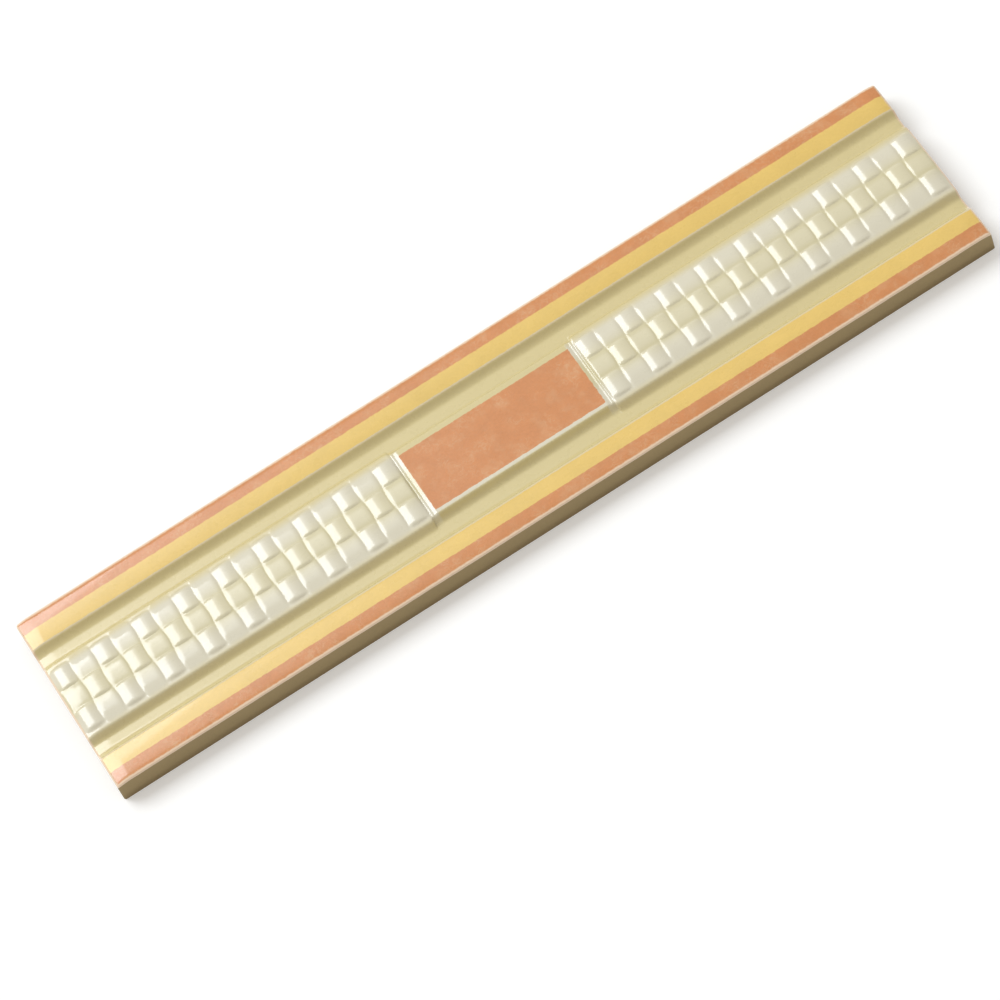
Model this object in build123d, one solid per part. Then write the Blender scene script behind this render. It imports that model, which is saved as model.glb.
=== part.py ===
"""Glazed ceramic border tile: two striped lips, two coves, a woven relief band and a flat centre panel.

Millimetres. X runs along the tile, Y across it and Z up from the flat back.
The origin is the centre of the back.
"""
import math
import os

from build123d import *

# Overall size
LENGTH = 250.0
WIDTH = 54.0

# Section across the tile, from the outer edge to the middle
EDGE_HEIGHT = 7.4
LIP_CREST_HEIGHT = 7.75
LIP_CREST_INSET = 4.4
LIP_INNER_HEIGHT = 7.4
LIP_WIDTH = 9.0
LIP_WALL_WIDTH = 1.2
COVE_FLOOR_HEIGHT = 5.7
COVE_WIDTH = 6.5
BAND_WALL_WIDTH = 1.1
BAND_EDGE_HEIGHT = 7.6
BAND_CROWN_HEIGHT = 8.1

# Glaze-softened edges
EDGE_RADIUS = 0.65
ARRIS_RADIUS = 0.7
FOOT_RADIUS = 1.5
END_RADIUS = 0.6

# Flat centre panel, with a bead between it and the weave at each end
PANEL_LENGTH = 50.4
PANEL_WIDTH = 21.4
PANEL_HEIGHT = 7.7
PANEL_SIDE_ANGLE = 60.0
PANEL_EDGE_RADIUS = 0.25
BED_DEPTH = 0.35
BORDER_WIDTH = 1.2
BEAD_RADIUS = 0.4

# Plain weave: lengthwise and crosswise strands on top by turns
ROWS = 3
CELLS_PER_SIDE = 17
ROW_PITCH = 6.7
STRAND_GAP = 0.3
STRAND_STEP = 0.12
STRAND_CROWN = 0.45
STRAND_ARCH_RADIUS = 14.0
STRAND_ROOT = 0.9

# Half widths and levels that follow from the sizes above
OUTER = WIDTH / 2
LIP_INNER = OUTER - LIP_WIDTH
BAND_EDGE = LIP_INNER - COVE_WIDTH
LIP_FOOT = LIP_INNER - LIP_WALL_WIDTH
BAND_FOOT = BAND_EDGE + BAND_WALL_WIDTH
BED_HEIGHT = PANEL_HEIGHT - BED_DEPTH
CROWN_RISE = BAND_CROWN_HEIGHT - BAND_EDGE_HEIGHT
CROWN_RADIUS = (BAND_EDGE**2 + CROWN_RISE**2) / (2 * CROWN_RISE)
CROWN_CENTRE = BAND_CROWN_HEIGHT - CROWN_RADIUS
BED_LENGTH = PANEL_LENGTH + 2 * BORDER_WIDTH
CELL = (LENGTH / 2 - END_RADIUS - BED_LENGTH / 2) / CELLS_PER_SIDE
SAME_PLACE = 0.001


def section_edges(side):
    """Cove, lip and outer edge of one side of the section, from the band outwards."""
    band_corner = (side * BAND_EDGE, BAND_EDGE_HEIGHT)
    band_foot = (side * BAND_FOOT, COVE_FLOOR_HEIGHT)
    lip_foot = (side * LIP_FOOT, COVE_FLOOR_HEIGHT)
    lip_corner = (side * LIP_INNER, LIP_INNER_HEIGHT)
    shoulder = (side * OUTER, EDGE_HEIGHT)
    lip_crest = (side * (OUTER - LIP_CREST_INSET), LIP_CREST_HEIGHT)
    return [
        Polyline(band_corner, band_foot, lip_foot, lip_corner),
        ThreePointArc(lip_corner, lip_crest, shoulder),
        Line(shoulder, (side * OUTER, 0)),
    ]


def section():
    """The tile's section in its own plane, with its arrises, cove feet and shoulders rounded."""
    crown = ThreePointArc(
        (-BAND_EDGE, BAND_EDGE_HEIGHT), (0, BAND_CROWN_HEIGHT), (BAND_EDGE, BAND_EDGE_HEIGHT)
    )
    back = Line((-OUTER, 0), (OUTER, 0))
    face = make_face([crown, back] + section_edges(-1) + section_edges(1))

    def corners(of_face, half_width):
        return [
            v for v in of_face.vertices()
            if abs(abs(v.X) - half_width) < SAME_PLACE and v.Y > SAME_PLACE
        ]

    face = fillet(corners(face, BAND_FOOT), FOOT_RADIUS)
    face = fillet(corners(face, LIP_FOOT), FOOT_RADIUS)
    face = fillet(corners(face, BAND_EDGE), ARRIS_RADIUS)
    face = fillet(corners(face, LIP_INNER), ARRIS_RADIUS)
    return fillet(corners(face, OUTER), EDGE_RADIUS)


def slab():
    """The section carried along the tile, with the edges of its two ends rounded."""
    body = extrude(Plane.YZ * section(), LENGTH / 2, both=True)
    end_edges = [
        edge
        for end in body.faces().filter_by(Axis.X)
        for edge in end.edges()
        if edge.center().Z > SAME_PLACE
    ]
    return fillet(end_edges, END_RADIUS)


def panel_block(length, height):
    """A block across the band with sloped sides, which are in line with the sides of the panel."""
    def half_width(level):
        return PANEL_WIDTH / 2 + (PANEL_HEIGHT - level) / math.tan(math.radians(PANEL_SIDE_ANGLE))

    root = BAND_EDGE_HEIGHT / 2
    outline = Polyline(
        (-half_width(root), root),
        (half_width(root), root),
        (half_width(height), height),
        (-half_width(height), height),
        close=True,
    )
    return extrude(Plane.YZ * make_face(outline), length / 2, both=True)


def centre_panel():
    """The flat plaque in the middle, with its top edges rounded, and the bed that it lies on."""
    plaque = panel_block(PANEL_LENGTH, PANEL_HEIGHT)
    plaque = fillet(plaque.faces().sort_by(Axis.Z)[-1].edges(), PANEL_EDGE_RADIUS)
    return plaque + panel_block(BED_LENGTH, BED_HEIGHT)


def panel_space():
    """The space that is cleared for the panel, from cove to cove and down to their floors."""
    cove_middle = (LIP_FOOT + BAND_FOOT) / 2
    head_room = BAND_CROWN_HEIGHT
    return Pos(0, 0, COVE_FLOOR_HEIGHT + head_room / 2) * Box(BED_LENGTH, 2 * cove_middle, head_room)


def beads():
    """A bead across the band in the middle of each border of the panel."""
    bead_place = PANEL_LENGTH / 2 + BORDER_WIDTH / 2
    bead = Rot(X=90) * Cylinder(BEAD_RADIUS, PANEL_WIDTH)
    return [Pos(side * bead_place, 0, BED_HEIGHT) * bead for side in (-1, 1)]


def strand_pad(across, along):
    """One strand where it lies on top: a crowned section, carried along Y over an arch.

    The pad stands on the plane Z = 0, with its root below that plane.
    """
    half = across / 2
    outline = [
        ThreePointArc((-half, STRAND_STEP), (0, STRAND_STEP + STRAND_CROWN), (half, STRAND_STEP)),
        Polyline((half, STRAND_STEP), (half, -STRAND_ROOT), (-half, -STRAND_ROOT), (-half, STRAND_STEP)),
    ]
    arch_axis = Axis((0, 0, STRAND_STEP + STRAND_CROWN - STRAND_ARCH_RADIUS), (1, 0, 0))
    sweep_angle = 2 * math.degrees(math.asin(along / 2 / STRAND_ARCH_RADIUS))
    face = (Plane.XZ * make_face(outline)).rotate(arch_axis, -sweep_angle / 2)
    return revolve(face, arch_axis, sweep_angle)


def weave():
    """The pads of both woven halves, laid over the crown of the band."""
    crosswise = strand_pad(CELL - STRAND_GAP, ROW_PITCH - STRAND_GAP)
    lengthwise = Rot(Z=90) * strand_pad(ROW_PITCH - STRAND_GAP, CELL - STRAND_GAP)
    pads = []
    for row in range(ROWS):
        row_offset = (row - (ROWS - 1) / 2) * ROW_PITCH
        lean = Pos(0, 0, CROWN_CENTRE) * Rot(X=-math.degrees(row_offset / CROWN_RADIUS))
        for cell in range(CELLS_PER_SIDE):
            from_middle = LENGTH / 2 - END_RADIUS - (cell + 0.5) * CELL
            pad = crosswise if (cell + row) % 2 == 0 else lengthwise
            pads += [lean * Pos(side * from_middle, 0, CROWN_RADIUS) * pad for side in (-1, 1)]
    return pads


def border_tile():
    """The whole tile as one solid."""
    tile = slab() - panel_space()
    return tile.fuse(centre_panel(), *beads(), *weave())


os.makedirs("parts", exist_ok=True)
export_step(border_tile(), "parts/border_tile.step")
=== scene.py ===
"""Glazed border tile: striped lips, hollow coves, a woven relief band and a coral centre panel.

Sizes are in millimetres and angles in degrees. Meshes are turned to metres as they are made.
X runs along the tile, Y across it and Z up from its back, as in the frame.
"""
import math

import bpy
import numpy as np
from mathutils import Matrix, Vector


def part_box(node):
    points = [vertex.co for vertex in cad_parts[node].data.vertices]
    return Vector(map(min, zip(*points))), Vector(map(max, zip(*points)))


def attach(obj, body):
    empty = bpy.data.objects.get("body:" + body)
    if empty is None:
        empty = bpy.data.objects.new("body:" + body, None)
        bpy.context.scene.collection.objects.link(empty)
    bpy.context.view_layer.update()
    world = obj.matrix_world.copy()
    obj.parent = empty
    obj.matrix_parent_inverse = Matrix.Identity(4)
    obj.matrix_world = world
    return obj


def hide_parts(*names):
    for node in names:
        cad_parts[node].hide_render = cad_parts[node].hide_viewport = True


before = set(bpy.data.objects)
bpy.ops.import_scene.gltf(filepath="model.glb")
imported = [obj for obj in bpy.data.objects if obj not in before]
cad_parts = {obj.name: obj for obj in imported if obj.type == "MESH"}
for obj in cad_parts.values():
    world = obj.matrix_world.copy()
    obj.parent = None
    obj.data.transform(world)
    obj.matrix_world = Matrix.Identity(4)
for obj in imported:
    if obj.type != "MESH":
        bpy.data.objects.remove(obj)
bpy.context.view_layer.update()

MM = 0.001

# Overall size, from the frame
LOW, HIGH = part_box("border_tile")
LENGTH = (HIGH.x - LOW.x) / MM
WIDTH = (HIGH.y - LOW.y) / MM
HALF_LENGTH = LENGTH / 2
OUTER = WIDTH / 2

# Section across the tile, from the outer edge to the middle
EDGE_HEIGHT = 7.4
LIP_CREST_HEIGHT = 7.75
LIP_CREST_INSET = 4.4
LIP_INNER_HEIGHT = 7.4
LIP_WIDTH = 9.2
COVE_FLOOR_HEIGHT = 5.6
COVE_WIDTH = 6.3
BAND_EDGE_HEIGHT = 7.6
BAND_CROWN_HEIGHT = 8.1
LIP_WALL_WIDTH = 1.0
BAND_WALL_WIDTH = 0.8
EDGE_RADIUS = 0.45
LIP_ARRIS_SOFTNESS = 0.5
BAND_ARRIS_SOFTNESS = 0.5
FOOT_SOFTNESS = 2.3
END_RADIUS = 0.6
END_ROLL_LENGTH = 4.0
END_ROLL_DROP = 0.6
LIP_INNER = OUTER - LIP_WIDTH
BAND_EDGE = LIP_INNER - COVE_WIDTH
COVE_MIDDLE = (LIP_INNER + BAND_EDGE) / 2

# Flat centre panel, its bed and the beads beside it
PANEL_LENGTH = 50.4
PANEL_HALF_WIDTH = 10.7
PANEL_HEIGHT = 7.7
BED_DEPTH = 0.22
BORDER_WIDTH = 1.2
BEAD_HEIGHT = 0.06
BED_LENGTH = PANEL_LENGTH + 2 * BORDER_WIDTH
BED_HEIGHT = PANEL_HEIGHT - BED_DEPTH
PANEL_END_SLOPE = 0.32
PANEL_SIDE_SLOPE = 2.4
WALL_SOFTNESS = 0.2

# Plain weave
ROWS = 3
ROW_PITCH = 6.7
CELLS_PER_SIDE = 17
CELL = (HALF_LENGTH - END_RADIUS - BED_LENGTH / 2) / CELLS_PER_SIDE
CROSS_HEIGHT = 0.50
CROSS_HALF_WIDTH = 2.65
CROSS_HALF_LENGTH = 3.4
LONG_HEIGHT = 0.32
LONG_HALF_LENGTH = 3.05
LONG_HALF_WIDTH = 3.3
STRAND_SOFTNESS = 0.28
CROSS_WIDTH_POWER = 2.8
CROSS_LENGTH_POWER = 12
LONG_LENGTH_POWER = 10
LONG_WIDTH_POWER = 2
WEAVE_END_FADE = 0.3
NO_STRAND = -1.0

# Mesh steps
STEPS_PER_CELL = 16
STEPS_PER_ROW = 20
CELL_CROWDING = 0.42
END_STEPS = 5
BORDER_STEPS = 26
PANEL_STEPS = 8
SHOULDER_STEPS = 7
LIP_STEPS = 9
ARRIS_STEPS = 8
WALL_STEPS = 9
FLOOR_STEPS = 10
BACK_STEPS = 5
ARRIS_REACH = 0.5
FOOT_REACH = 1.1
ROW_MARGIN = 0.02
SHARP_ANGLE = 50

# Printed bands, as distances from the middle
CORAL_OUTER = 26.2
CORAL_INNER = 22.8
YELLOW_INNER = 18.2
PRINT_HALF_LENGTH = 24.48
PRINT_HALF_WIDTH = 9.27
PRINT_SHIFT = -0.23
FAR_FADE = 1.2
PRINT_BLUR = 0.12
PRINT_RAGGED = 0.5
PEARL_START = BAND_EDGE + 1.5
PEARL_FULL = BAND_EDGE - 1.8
WARM_ROW = 0.3 * ROW_PITCH
WHITE_ROW = 1.1 * ROW_PITCH
PALE_RIM = 0.8
PALE_RIM_FULL = 0.2

# Glaze line on the sides
GLAZE_LINE = 6.9
GLAZE_WANDER = 0.1

# Studio
FLOOR_LIFT = 0.25
FLOOR_HALF = 3000.0
SOFTBOX_PLACE = (-1200.0, 1267.0, 1852.0)
SOFTBOX_DEPTH = 1400.0
SOFTBOX_COLOUR = (0.94, 0.99, 1.06)
SOFTBOX_ROLL = 137.0
# Each panel is its place along the softbox, its width and its watts per square metre
SOFTBOX_PANELS = (
    (350.0, 1750.0, 17.0),
    (1275.0, 100.0, 6.0),
    (1375.0, 100.0, 3.6),
    (1475.0, 100.0, 2.1),
    (1580.0, 110.0, 1.2),
    (1760.0, 250.0, 0.5),
)
FILL_LEVEL = 0.53
FILL_COLOUR = (1.03, 1.0, 0.96, 1.0)

# Camera
CAMERA_AIM = (-10.31, -16.86, 7.8)
CAMERA_AZIMUTH = 9.05
CAMERA_ELEVATION = 59.29
CAMERA_ROLL = -24.56
CAMERA_DISTANCE = 1379.3
CAMERA_LENS = 205.88
SENSOR_WIDTH = 36.0


def circle_through(p, q, r):
    """Centre and radius of the circle through three points, from the two lines midway between them."""
    (ax, ay), (bx, by), (cx, cy) = p, q, r
    lines = np.array([[bx - ax, by - ay], [cx - bx, cy - by]])
    levels = np.array([(bx**2 - ax**2 + by**2 - ay**2) / 2, (cx**2 - bx**2 + cy**2 - by**2) / 2])
    centre = np.linalg.solve(lines, levels)
    return centre, math.hypot(ax - centre[0], ay - centre[1])


def arc_height(y, p, q, r):
    """Height on the arc through three points, carried on by a straight line beyond its two ends.

    The arc is the upper half of its circle where its middle point lies above the centre, else the lower half.
    """
    (cy, cz), radius = circle_through(p, q, r)
    side = 1.0 if q[1] > cz else -1.0
    inside = np.clip(y, min(p[0], r[0]), max(p[0], r[0]))
    rise = np.sqrt(radius**2 - (inside - cy) ** 2)
    slope = -side * (inside - cy) / rise
    return cz + side * rise + slope * (y - inside)


def soft_min(a, b, softness):
    """The lower of two heights, with the corner between them rounded over the given softness."""
    share = np.clip(0.5 + 0.5 * (b - a) / softness, 0, 1)
    return b + (a - b) * share - softness * share * (1 - share)


def soft_max(a, b, softness):
    """The higher of two heights, with the corner between them filled over the given softness."""
    return -soft_min(-a, -b, softness)


def ramp(value, start, end):
    """0 before start, 1 after end, and an S-curve of three times the square less twice the cube between."""
    t = np.clip((value - start) / (end - start), 0, 1)
    return t * t * (3 - 2 * t)


def lip_height(s):
    """Height of the lip at a distance s from the middle: one convex arc."""
    crest = (OUTER - LIP_CREST_INSET, LIP_CREST_HEIGHT)
    return arc_height(s, (LIP_INNER, LIP_INNER_HEIGHT), crest, (OUTER, EDGE_HEIGHT))


def crown_height(s):
    """Height of the plain band at a distance s from the middle: one convex arc."""
    edge = (BAND_EDGE, BAND_EDGE_HEIGHT)
    return arc_height(s, (-BAND_EDGE, BAND_EDGE_HEIGHT), (0, BAND_CROWN_HEIGHT), edge)


def band_wall(s):
    """The sloped wall of the woven band, as a straight line."""
    return BAND_EDGE_HEIGHT - (s - BAND_EDGE) * (BAND_EDGE_HEIGHT - COVE_FLOOR_HEIGHT) / BAND_WALL_WIDTH


def panel_wall(s):
    """The sloped side of the panel, as a straight line."""
    return PANEL_HEIGHT - PANEL_SIDE_SLOPE * (s - PANEL_HALF_WIDTH)


def section_height(s, band, wall):
    """Height across the tile: the band, then a cove of two sloped walls and a floor, then the lip.

    The walls meet the floor in hollow fillets, and meet the band and the lip in rounded arrises.
    """
    lip_wall = LIP_INNER_HEIGHT + (s - LIP_INNER) * (LIP_INNER_HEIGHT - COVE_FLOOR_HEIGHT) / LIP_WALL_WIDTH
    cove = soft_max(soft_max(lip_wall, COVE_FLOOR_HEIGHT, FOOT_SOFTNESS), wall, FOOT_SOFTNESS)
    inner = soft_min(band, cove, BAND_ARRIS_SOFTNESS)
    outer = soft_min(lip_height(s), cove, LIP_ARRIS_SOFTNESS)
    return np.where(s < COVE_MIDDLE, inner, outer)


def weave_height(x, y):
    """Relief of the weave above the band: the higher of the crosswise and lengthwise strands.

    A strand is its height, less that height times a power of its width share and a power of its length share.
    The power of the width share is low, for a round crown, and that of the length share high, for a steep end.
    """
    from_end = HALF_LENGTH - END_RADIUS - np.abs(x)
    column = np.floor(from_end / CELL)
    relief = np.zeros(np.broadcast(x, y).shape)
    for row in range(ROWS):
        across = np.abs(y - (row - (ROWS - 1) / 2) * ROW_PITCH)
        for neighbour in (-1, 0, 1):
            cell = column + neighbour
            along = np.abs(from_end - (cell + 0.5) * CELL)
            crosswise = (cell + row) % 2 == 0
            real = (cell >= 0) & (cell < CELLS_PER_SIDE)
            cross_width = (along / CROSS_HALF_WIDTH) ** CROSS_WIDTH_POWER
            cross_length = (across / CROSS_HALF_LENGTH) ** CROSS_LENGTH_POWER
            long_length = (along / LONG_HALF_LENGTH) ** LONG_LENGTH_POWER
            long_width = (across / LONG_HALF_WIDTH) ** LONG_WIDTH_POWER
            cross = CROSS_HEIGHT * (1 - cross_width - cross_length)
            long = LONG_HEIGHT * (1 - long_length - long_width)
            strand = np.where(real, np.where(crosswise, cross, long), NO_STRAND)
            relief = soft_max(relief, strand, STRAND_SOFTNESS)
    return relief - STRAND_SOFTNESS / 4


def panel_height(x, s):
    """The band at its middle: the crown cut down to a bed, with the plaque and two beads standing on it.

    The plaque is flat with gently sloped ends, and each bead is a cosine squared that runs across the band.
    """
    along = np.abs(x)
    bed = soft_min(crown_height(s), BED_HEIGHT, WALL_SOFTNESS)
    end_start = (PANEL_LENGTH - BORDER_WIDTH) / 2
    plaque = PANEL_HEIGHT - PANEL_END_SLOPE * soft_max(along - end_start, 0.0, WALL_SOFTNESS)
    from_bead = np.clip((along - (PANEL_LENGTH + BORDER_WIDTH) / 2) / (BORDER_WIDTH / 2), -1, 1)
    bead = bed + BEAD_HEIGHT * np.cos(from_bead * math.pi / 2) ** 2
    return soft_max(bead, plaque, WALL_SOFTNESS / 2)


def top_height(x, y):
    """Height of the whole top, and the share of the weave in it.

    The weave and its walls give way to the panel and its walls over an S-curve at each end of the bed.
    """
    s = np.abs(y)
    woven = ramp(np.abs(x), BED_LENGTH / 2 - WEAVE_END_FADE, BED_LENGTH / 2 + WEAVE_END_FADE)
    weave = weave_height(x, y) * np.where(s < BAND_EDGE, 1.0, 0.0)
    band = woven * (crown_height(s) + weave) + (1 - woven) * panel_height(x, s)
    wall = woven * band_wall(s) + (1 - woven) * panel_wall(s)
    return section_height(s, band, wall), woven * weave / CROSS_HEIGHT


def crowded_steps(count):
    """Fractions from 0 to 1 in equal steps less a sine, so that they crowd at both ends."""
    u = np.arange(count) / count
    return u - CELL_CROWDING * np.sin(2 * math.pi * u) / (2 * math.pi)


def stations():
    """Places along the tile, with how far the section has drawn in at each as the end rounds over."""
    turn = np.radians(np.linspace(90, 0, END_STEPS, endpoint=False))
    end_x = -HALF_LENGTH + END_RADIUS - END_RADIUS * np.sin(turn)
    end_in = END_RADIUS * (1 - np.cos(turn))
    cells = np.arange(CELLS_PER_SIDE)[:, None] + crowded_steps(STEPS_PER_CELL)
    woven_x = -HALF_LENGTH + END_RADIUS + CELL * cells.ravel()
    border_x = np.linspace(-BED_LENGTH / 2, -PANEL_LENGTH / 2 + BORDER_WIDTH, BORDER_STEPS, endpoint=False)
    panel_x = np.linspace(-PANEL_LENGTH / 2 + BORDER_WIDTH, 0, PANEL_STEPS)
    left = np.concatenate([end_x, woven_x, border_x, panel_x])
    drawn = np.concatenate([end_in, np.zeros(len(left) - len(end_in))])
    return np.concatenate([left, -left[-2::-1]]), np.concatenate([drawn, drawn[-2::-1]])


def section_line():
    """The section from the foot of the front side, over the top, to the foot of the back side.

    The shoulder is an arc from upright to the slope of the lip. The top has its places only: its height is
    worked out later, for each station.
    """
    step = 0.01
    shoulder_y = OUTER - EDGE_RADIUS
    lip_slope = (lip_height(shoulder_y + step) - lip_height(shoulder_y)) / step
    last_turn = math.pi / 2 + math.atan(lip_slope)
    turn = np.linspace(0, last_turn, SHOULDER_STEPS)
    touch_y = shoulder_y + EDGE_RADIUS * math.cos(last_turn)
    centre_z = lip_height(touch_y) - EDGE_RADIUS * math.sin(last_turn)
    shoulder = np.stack([shoulder_y + EDGE_RADIUS * np.cos(turn), centre_z + EDGE_RADIUS * np.sin(turn)])
    side = np.array([[OUTER, OUTER, OUTER], [0.0, GLAZE_LINE / 2, GLAZE_LINE]])
    foot_y = LIP_INNER - LIP_WALL_WIDTH - FOOT_REACH
    spans = [
        np.linspace(touch_y, LIP_INNER + ARRIS_REACH, LIP_STEPS),
        np.linspace(LIP_INNER + ARRIS_REACH, LIP_INNER - ARRIS_REACH, ARRIS_STEPS),
        np.linspace(LIP_INNER - ARRIS_REACH, foot_y, WALL_STEPS),
        np.linspace(foot_y, BAND_EDGE + ARRIS_REACH, FLOOR_STEPS),
        np.linspace(BAND_EDGE + ARRIS_REACH, ROWS * ROW_PITCH / 2 + ROW_MARGIN, ARRIS_STEPS),
    ]
    outer_y = np.concatenate([span[1:] for span in spans])[:-1]
    rows = np.arange(ROWS)[:, None] + crowded_steps(STEPS_PER_ROW)
    rows_y = np.append(ROW_PITCH * (rows.ravel() - ROWS / 2), ROW_PITCH * ROWS / 2)
    top_y = np.concatenate([-outer_y, rows_y, outer_y[::-1]])
    half = np.concatenate([side, shoulder], axis=1)
    front = half * np.array([[-1.0], [1.0]])
    top = np.stack([top_y, np.zeros_like(top_y)])
    return np.concatenate([front, top, half[:, ::-1]], axis=1), side.shape[1]


def wander(x, reach, seed):
    """A gentle wandering line: five sines of unlike lengths, with starts drawn from the seed."""
    draw = np.random.default_rng(seed)
    lengths = np.array([61.0, 37.0, 23.0, 11.0, 5.3])
    starts = draw.uniform(0, 2 * math.pi, len(lengths))
    return reach * np.sin(2 * math.pi * x[:, None] / lengths + starts).mean(axis=1)


def tile_mesh():
    """The tile as one closed shell: its section carried along the stations, with two flat ends.

    A point is its station and its place on the section, with the relief added to the top.
    Near an end the section shrinks: its width by the draw-in, its height by the draw-in and the roll-off.
    """
    x, drawn = stations()
    line, side_points = section_line()
    half_points = side_points + SHOULDER_STEPS
    top = slice(half_points, line.shape[1] - half_points)
    shaped, strand_share = top_height(x[:, None], line[0, top][None, :])
    z = np.repeat(line[1][None, :], len(x), axis=0)
    z[:, top] = shaped
    z[:, side_points - 1] += wander(x, GLAZE_WANDER, 3)
    z[:, -side_points] += wander(x, GLAZE_WANDER, 8)
    rolled = np.clip((np.abs(x) - HALF_LENGTH + END_ROLL_LENGTH) / END_ROLL_LENGTH, 0, 1) ** 2
    y = line[0] * (1 - drawn / OUTER)[:, None]
    z = z * (1 - (drawn + END_ROLL_DROP * rolled) / EDGE_HEIGHT)[:, None]
    back_y = np.linspace(1, -1, BACK_STEPS)[1:-1] * (OUTER - drawn)[:, None]
    y = np.concatenate([y, back_y], axis=1)
    z = np.concatenate([z, np.zeros_like(back_y)], axis=1)
    ring = y.shape[1]
    points = np.stack([np.broadcast_to(x[:, None], y.shape), y, z], axis=-1).reshape(-1, 3) * MM

    here = np.arange(len(x) - 1)[:, None] * ring
    j = np.arange(ring)
    after = (j + 1) % ring
    quads = np.stack([here + j, here + after, here + ring + after, here + ring + j], axis=-1).reshape(-1, 4)
    first_end = j[::-1]
    last_end = (len(x) - 1) * ring + j
    faces = quads.tolist() + [first_end.tolist(), last_end.tolist()]

    mesh = bpy.data.meshes.new("glazed_tile")
    mesh.from_pydata(points.tolist(), [], faces)
    glazed = (j >= side_points - 1) & (j < line.shape[1] - side_points)
    clay = np.append(np.broadcast_to(np.where(glazed, 0, 1), (len(x) - 1, ring)).ravel(), [1, 1])
    mesh.polygons.foreach_set("material_index", clay.astype(np.int32))
    mesh.polygons.foreach_set("use_smooth", np.arange(len(faces)) < len(quads))
    relief = np.zeros((len(x), ring))
    relief[:, top] = strand_share
    shares = mesh.attributes.new("relief", "FLOAT", "POINT")
    shares.data.foreach_set("value", relief.ravel().astype(np.float32))
    mesh.update()
    mesh.set_sharp_from_angle(angle=math.radians(SHARP_ANGLE))
    return mesh


def srgb(red, green, blue):
    """A colour given as it looks on screen, from 0 to 255, as the linear colour that a shader takes."""
    c = np.array([red, green, blue]) / 255
    linear = np.where(c <= 0.04045, c / 12.92, ((c + 0.055) / 1.055) ** 2.4)
    return (*linear.tolist(), 1.0)


def put(tree, socket, value):
    """Links a socket to an input, or sets the input to a plain value."""
    if isinstance(value, bpy.types.NodeSocket):
        tree.links.new(value, socket)
    else:
        socket.default_value = value


def maths(tree, operation, *values, clamp=False):
    """A math node on sockets or numbers."""
    node = tree.nodes.new("ShaderNodeMath")
    node.operation = operation
    node.use_clamp = clamp
    for socket, value in zip(node.inputs, values):
        put(tree, socket, value)
    return node.outputs[0]


def mix_colour(tree, mask, below, above, blend="MIX"):
    """One colour over another by a mask."""
    node = tree.nodes.new("ShaderNodeMix")
    node.data_type = "RGBA"
    node.blend_type = blend
    put(tree, node.inputs[0], mask)
    put(tree, node.inputs[6], below)
    put(tree, node.inputs[7], above)
    return node.outputs[2]


def noise(tree, place, scale, detail=2.0, roughness=0.5, distortion=0.0):
    """Noise about 0.5 at a place in millimetres; the scale is waves per millimetre."""
    node = tree.nodes.new("ShaderNodeTexNoise")
    put(tree, node.inputs["Vector"], place)
    node.inputs["Scale"].default_value = scale
    node.inputs["Detail"].default_value = detail
    node.inputs["Roughness"].default_value = roughness
    node.inputs["Distortion"].default_value = distortion
    return node.outputs["Fac"]


def step_mask(tree, value, start, end):
    """0 before start and 1 after end, smooth between; start may be after end."""
    node = tree.nodes.new("ShaderNodeMapRange")
    node.interpolation_type = "SMOOTHSTEP"
    put(tree, node.inputs["Value"], value)
    flip = start > end
    node.inputs["From Min"].default_value = min(start, end)
    node.inputs["From Max"].default_value = max(start, end)
    node.inputs["To Min"].default_value = 1.0 if flip else 0.0
    node.inputs["To Max"].default_value = 0.0 if flip else 1.0
    return node.outputs["Result"]


def new_group(name, inputs, outputs):
    """An empty shader node group with named sockets, and its input and output nodes."""
    tree = bpy.data.node_groups.new(name, "ShaderNodeTree")
    for socket, kind in inputs:
        tree.interface.new_socket(socket, in_out="INPUT", socket_type=kind)
    for socket, kind in outputs:
        tree.interface.new_socket(socket, in_out="OUTPUT", socket_type=kind)
    return tree, tree.nodes.new("NodeGroupInput"), tree.nodes.new("NodeGroupOutput")


def use_group(tree, group, **values):
    """A group placed in a material, with its inputs set by name; underscores stand for spaces."""
    node = tree.nodes.new("ShaderNodeGroup")
    node.node_tree = group
    for name, value in values.items():
        put(tree, node.inputs[name.replace("_", " ")], value)
    return node


def new_material(name):
    """A material with its shader, and Object coordinates turned to millimetres."""
    material = bpy.data.materials.new(name)
    material.use_nodes = True
    tree = material.node_tree
    shader = tree.nodes["Principled BSDF"]
    coordinates = tree.nodes.new("ShaderNodeTexCoord")
    scale = tree.nodes.new("ShaderNodeVectorMath")
    scale.operation = "SCALE"
    scale.inputs["Scale"].default_value = 1 / MM
    tree.links.new(coordinates.outputs["Object"], scale.inputs[0])
    return material, tree, shader, scale.outputs[0]


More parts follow.
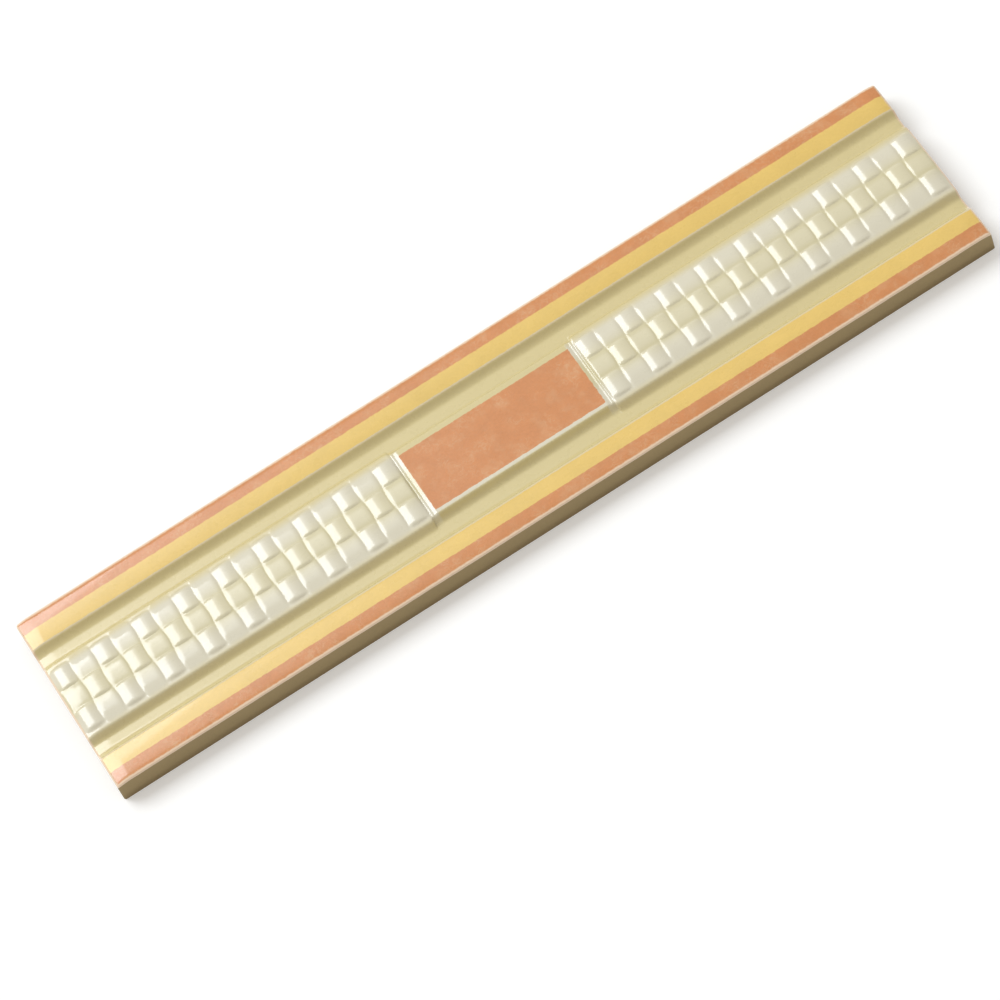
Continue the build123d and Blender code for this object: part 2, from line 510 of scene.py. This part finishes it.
def mottle_group():
    """Cloudy tone with fine grain: a colour is made lighter and darker by two sizes of noise."""
    tree, given, result = new_group(
        "fired_mottle",
        [("Place", "NodeSocketVector"), ("Colour", "NodeSocketColor"), ("Cloud", "NodeSocketFloat"),
         ("Grain", "NodeSocketFloat")],
        [("Colour", "NodeSocketColor"), ("Tone", "NodeSocketFloat")],
    )
    place = given.outputs["Place"]
    cloud = maths(tree, "SUBTRACT", noise(tree, place, 0.16, 4, 0.55, 0.6), 0.5)
    grain = maths(tree, "SUBTRACT", noise(tree, place, 1.6, 3, 0.6), 0.5)
    tone = maths(
        tree, "ADD",
        maths(tree, "MULTIPLY", cloud, given.outputs["Cloud"]),
        maths(tree, "MULTIPLY", grain, given.outputs["Grain"]),
    )
    level = maths(tree, "ADD", tone, 1.0)
    scaled = tree.nodes.new("ShaderNodeVectorMath")
    scaled.operation = "SCALE"
    tree.links.new(given.outputs["Colour"], scaled.inputs[0])
    tree.links.new(level, scaled.inputs["Scale"])
    tree.links.new(scaled.outputs[0], result.inputs["Colour"])
    tree.links.new(tone, result.inputs["Tone"])
    return tree


def vein_group():
    """Fine wandering veins: 1 where one noise crosses its middle, kept in patches of another."""
    tree, given, result = new_group(
        "pale_veins",
        [("Place", "NodeSocketVector"), ("Scale", "NodeSocketFloat")],
        [("Mask", "NodeSocketFloat")],
    )
    spread = tree.nodes.new("ShaderNodeVectorMath")
    spread.operation = "SCALE"
    tree.links.new(given.outputs["Place"], spread.inputs[0])
    tree.links.new(given.outputs["Scale"], spread.inputs["Scale"])
    place = spread.outputs[0]
    vein_noise = noise(tree, place, 1.0, 3, 0.6, 1.2)
    off_middle = maths(tree, "ABSOLUTE", maths(tree, "SUBTRACT", vein_noise, 0.5))
    line = step_mask(tree, off_middle, 0.045, 0.0)
    patch = step_mask(tree, noise(tree, place, 0.37, 2), 0.42, 0.62)
    tree.links.new(maths(tree, "MULTIPLY", line, patch), result.inputs["Mask"])
    return tree


# Glaze colours, as they look in plain light, except that the seam colour, the clay and the foot clay are set
# darker as painted shade
CREAM = srgb(219, 203, 148)
PEARL = srgb(225, 218, 194)
WARM_PEARL = srgb(224, 215, 180)
# The seam colour is darker than the pearl: painted shade in the grooves between strands.
SEAM_SHADE = srgb(216, 206, 164)
CORAL = srgb(214, 141, 84)
PALE_CORAL = srgb(224, 172, 124)
YELLOW = srgb(235, 199, 108)
THIN_GLAZE = srgb(226, 208, 168)
RIM_GLAZE = srgb(240, 212, 180)
# The clay colour is the body's ochre, set darker as painted shade for the sides.
SHADED_CLAY = srgb(166, 145, 104)
# The foot clay is darker still: painted shade near the floor.
FOOT_SHADE_CLAY = srgb(116, 96, 62)
FLOOR = srgb(236, 235, 232)


def glaze_material(mottle, veins):
    """Glossy glaze: cream ground, pearly weave, printed coral and yellow, paler where it thins on an edge. The
    weave's seams are darker as painted shade, and a pale line along the panel's near edge is a painted
    highlight.
    """
    material, tree, shader, place = new_material("tile_glaze")
    parts = tree.nodes.new("ShaderNodeSeparateXYZ")
    tree.links.new(place, parts.inputs[0])
    along = maths(tree, "ABSOLUTE", parts.outputs["X"])
    across = maths(tree, "ABSOLUTE", parts.outputs["Y"])
    ragged_noise = maths(tree, "SUBTRACT", noise(tree, place, 0.9, 3, 0.6), 0.5)
    ragged = maths(tree, "MULTIPLY", ragged_noise, PRINT_RAGGED)
    print_line = maths(tree, "ADD", across, ragged)
    ragged_along = maths(tree, "ADD", along, ragged)

    def toned(colour, cloud, grain):
        return use_group(tree, mottle, Place=place, Colour=colour, Cloud=cloud, Grain=grain).outputs["Colour"]

    ground = toned(CREAM, 0.05, 0.03)
    panel_end = PANEL_LENGTH / 2
    outside_panel = step_mask(tree, along, panel_end - BORDER_WIDTH, panel_end - BORDER_WIDTH / 2)
    near_side = step_mask(tree, parts.outputs["Y"], 0.5, -0.5)
    inside_rim = step_mask(tree, across, PANEL_HALF_WIDTH, PANEL_HALF_WIDTH - 0.4)
    # Painted highlight: on the panel's near side only, the pale pearl runs on as a light line along its edge.
    near_rim_highlight = maths(tree, "MULTIPLY", near_side, inside_rim)
    far_shift = maths(tree, "MULTIPLY", maths(tree, "SUBTRACT", 1.0, near_side), FAR_FADE)
    pearl_mask = maths(
        tree, "MULTIPLY",
        step_mask(tree, maths(tree, "ADD", print_line, far_shift), PEARL_START, PEARL_FULL),
        maths(tree, "MAXIMUM", outside_panel, near_rim_highlight),
    )
    relief = tree.nodes.new("ShaderNodeAttribute")
    relief.attribute_name = "relief"
    raised = step_mask(tree, relief.outputs["Fac"], 0.0, 0.4)
    outer_row = step_mask(tree, print_line, WARM_ROW, WHITE_ROW)
    # Painted shade: the low parts of the weave, between the strands, take the darker seam colour.
    warm_pearl_with_seam_shade = mix_colour(tree, raised, toned(SEAM_SHADE, 0.05, 0.03), toned(WARM_PEARL, 0.05, 0.03))
    pearl = mix_colour(tree, outer_row, warm_pearl_with_seam_shade, toned(PEARL, 0.05, 0.03))
    colour = mix_colour(tree, pearl_mask, ground, pearl)
    thin_arris = maths(
        tree, "MULTIPLY",
        step_mask(tree, across, YELLOW_INNER - 0.55, YELLOW_INNER - 0.2),
        step_mask(tree, across, YELLOW_INNER + 0.15, YELLOW_INNER - 0.1),
    )
    colour = mix_colour(tree, thin_arris, colour, THIN_GLAZE)
    yellow_mask = step_mask(tree, print_line, YELLOW_INNER - 0.1, YELLOW_INNER + 0.2)
    colour = mix_colour(tree, yellow_mask, colour, toned(YELLOW, 0.16, 0.12))
    coral_mask = step_mask(tree, print_line, CORAL_INNER - PRINT_BLUR, CORAL_INNER + PRINT_BLUR)
    vein_mask = use_group(tree, veins, Place=place, Scale=0.45).outputs["Mask"]
    cloud_mask = step_mask(tree, noise(tree, place, 0.22, 4, 0.6), 0.46, 0.72)
    pale_mask = maths(
        tree, "ADD",
        maths(tree, "MULTIPLY", vein_mask, 0.55), maths(tree, "MULTIPLY", cloud_mask, 0.35), clamp=True,
    )
    coral = mix_colour(tree, pale_mask, toned(CORAL, 0.22, 0.24), PALE_CORAL)
    colour = mix_colour(tree, coral_mask, colour, coral)
    edge_mask = maths(
        tree, "MAXIMUM",
        step_mask(tree, print_line, CORAL_OUTER - 0.1, CORAL_OUTER + 0.35),
        step_mask(tree, ragged_along, HALF_LENGTH - PALE_RIM, HALF_LENGTH - PALE_RIM_FULL),
    )
    colour = mix_colour(tree, edge_mask, colour, RIM_GLAZE)
    print_across = maths(tree, "ABSOLUTE", maths(tree, "SUBTRACT", parts.outputs["Y"], PRINT_SHIFT))
    ragged_across = maths(tree, "ADD", print_across, ragged)
    panel_mask = maths(
        tree, "MULTIPLY",
        step_mask(tree, ragged_along, PRINT_HALF_LENGTH + PRINT_BLUR, PRINT_HALF_LENGTH - PRINT_BLUR),
        step_mask(tree, ragged_across, PRINT_HALF_WIDTH + PRINT_BLUR, PRINT_HALF_WIDTH - PRINT_BLUR),
    )
    colour = mix_colour(tree, panel_mask, colour, coral)
    tree.links.new(colour, shader.inputs["Base Color"])
    shader.inputs["IOR"].default_value = 1.52
    shader.inputs["Specular IOR Level"].default_value = 0.35
    rough = maths(tree, "ADD", maths(tree, "MULTIPLY", noise(tree, place, 0.35, 3), 0.10), 0.23)
    tree.links.new(rough, shader.inputs["Roughness"])
    shader.inputs["Coat Weight"].default_value = 1.0
    shader.inputs["Coat Roughness"].default_value = 0.06
    bump = tree.nodes.new("ShaderNodeBump")
    bump.inputs["Distance"].default_value = 0.02 * MM
    bump.inputs["Strength"].default_value = 0.6
    tree.links.new(noise(tree, place, 0.7, 2), bump.inputs["Height"])
    tree.links.new(bump.outputs["Normal"], shader.inputs["Normal"])
    return material


def clay_material(mottle):
    """Unglazed fired clay: matt, grainy and a little pitted. Its colour is the body's ochre set darker as
    painted shade, and it darkens further towards the foot as painted shade.
    """
    material, tree, shader, place = new_material("fired_clay")
    body = use_group(tree, mottle, Place=place, Colour=SHADED_CLAY, Cloud=0.12, Grain=0.16)
    parts = tree.nodes.new("ShaderNodeSeparateXYZ")
    tree.links.new(place, parts.inputs[0])
    # Painted shade: the clay darkens towards the foot over the lowest 3.2 mm.
    painted_foot_shade = maths(tree, "MULTIPLY", step_mask(tree, parts.outputs["Z"], 3.2, 0.0), 0.45)
    colour = mix_colour(tree, painted_foot_shade, body.outputs["Colour"], FOOT_SHADE_CLAY)
    tree.links.new(colour, shader.inputs["Base Color"])
    rough = maths(tree, "ADD", maths(tree, "MULTIPLY", body.outputs["Tone"], 0.4), 0.82)
    tree.links.new(rough, shader.inputs["Roughness"])
    bump = tree.nodes.new("ShaderNodeBump")
    bump.inputs["Distance"].default_value = 0.05 * MM
    tree.links.new(noise(tree, place, 2.2, 4, 0.7), bump.inputs["Height"])
    tree.links.new(bump.outputs["Normal"], shader.inputs["Normal"])
    return material


def floor_material():
    """Plain pale floor that shows white to the camera and still takes the shadow."""
    material = bpy.data.materials.new("pale_floor")
    material.use_nodes = True
    tree = material.node_tree
    shader = tree.nodes["Principled BSDF"]
    shader.inputs["Base Color"].default_value = FLOOR
    shader.inputs["Roughness"].default_value = 0.9
    shader.inputs["Specular IOR Level"].default_value = 0.0
    shader.inputs["Emission Color"].default_value = (1, 1, 1, 1)
    light_path = tree.nodes.new("ShaderNodeLightPath")
    seen = maths(tree, "MAXIMUM", light_path.outputs["Is Camera Ray"], light_path.outputs["Is Glossy Ray"])
    seen = maths(tree, "MAXIMUM", seen, light_path.outputs["Is Transmission Ray"])
    lift = maths(tree, "MULTIPLY", seen, FLOOR_LIFT)
    tree.links.new(lift, shader.inputs["Emission Strength"])
    return material


def make_tile():
    """The tile's piece, riding on the root and standing for the CAD node."""
    mottle = mottle_group()
    mesh = tile_mesh()
    mesh.materials.append(glaze_material(mottle, vein_group()))
    mesh.materials.append(clay_material(mottle))
    piece = bpy.data.objects.new("glazed_tile", mesh)
    bpy.context.scene.collection.objects.link(piece)
    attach(piece, "root")
    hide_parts("border_tile")


def make_floor():
    """A flat pale floor under the tile."""
    half = FLOOR_HALF * MM
    mesh = bpy.data.meshes.new("floor")
    corners = [(-half, -half, 0), (half, -half, 0), (half, half, 0), (-half, half, 0)]
    mesh.from_pydata(corners, [], [(0, 1, 2, 3)])
    mesh.materials.append(floor_material())
    floor = bpy.data.objects.new("floor", mesh)
    bpy.context.scene.collection.objects.link(floor)


def make_lights():
    """A softbox from the far left that fades to its right in panels, and even fill from all round."""
    middle = Vector(SOFTBOX_PLACE) * MM
    roll = Matrix.Rotation(math.radians(SOFTBOX_ROLL), 3, "Z")
    aim = (-middle).to_track_quat("-Z", "Y").to_matrix() @ roll
    for offset, width, watts_per_area in SOFTBOX_PANELS:
        lamp = bpy.data.lights.new("softbox", "AREA")
        lamp.shape = "RECTANGLE"
        lamp.size, lamp.size_y = width * MM, SOFTBOX_DEPTH * MM
        lamp.energy = watts_per_area * lamp.size * lamp.size_y
        lamp.color = SOFTBOX_COLOUR
        softbox = bpy.data.objects.new("softbox", lamp)
        softbox.location = middle + aim @ Vector((offset * MM, 0, 0))
        softbox.rotation_euler = aim.to_euler()
        bpy.context.scene.collection.objects.link(softbox)
    world = bpy.data.worlds.new("studio")
    world.use_nodes = True
    background = world.node_tree.nodes["Background"]
    background.inputs["Color"].default_value = FILL_COLOUR
    background.inputs["Strength"].default_value = FILL_LEVEL
    bpy.context.scene.world = world


def make_camera():
    """The camera at the photograph's place: forward by azimuth and elevation, then turned by the roll."""
    azimuth, elevation, roll = (math.radians(a) for a in (CAMERA_AZIMUTH, CAMERA_ELEVATION, CAMERA_ROLL))
    forward = Vector((
        math.sin(azimuth) * math.cos(elevation),
        math.cos(azimuth) * math.cos(elevation),
        -math.sin(elevation),
    ))
    level_right = Vector((math.cos(azimuth), -math.sin(azimuth), 0))
    level_up = level_right.cross(forward)
    right = math.cos(roll) * level_right + math.sin(roll) * level_up
    up = right.cross(forward)
    data = bpy.data.cameras.new("camera")
    data.lens = CAMERA_LENS
    data.sensor_width = SENSOR_WIDTH
    data.clip_start = 0.01
    data.clip_end = 20.0
    camera = bpy.data.objects.new("camera", data)
    place = (Vector(CAMERA_AIM) - forward * CAMERA_DISTANCE) * MM
    camera.matrix_world = Matrix.Translation(place) @ Matrix((right, up, -forward)).transposed().to_4x4()
    bpy.context.scene.collection.objects.link(camera)
    bpy.context.scene.camera = camera


make_tile()
make_floor()
make_lights()
make_camera()
bpy.context.scene.view_settings.view_transform = "Standard"
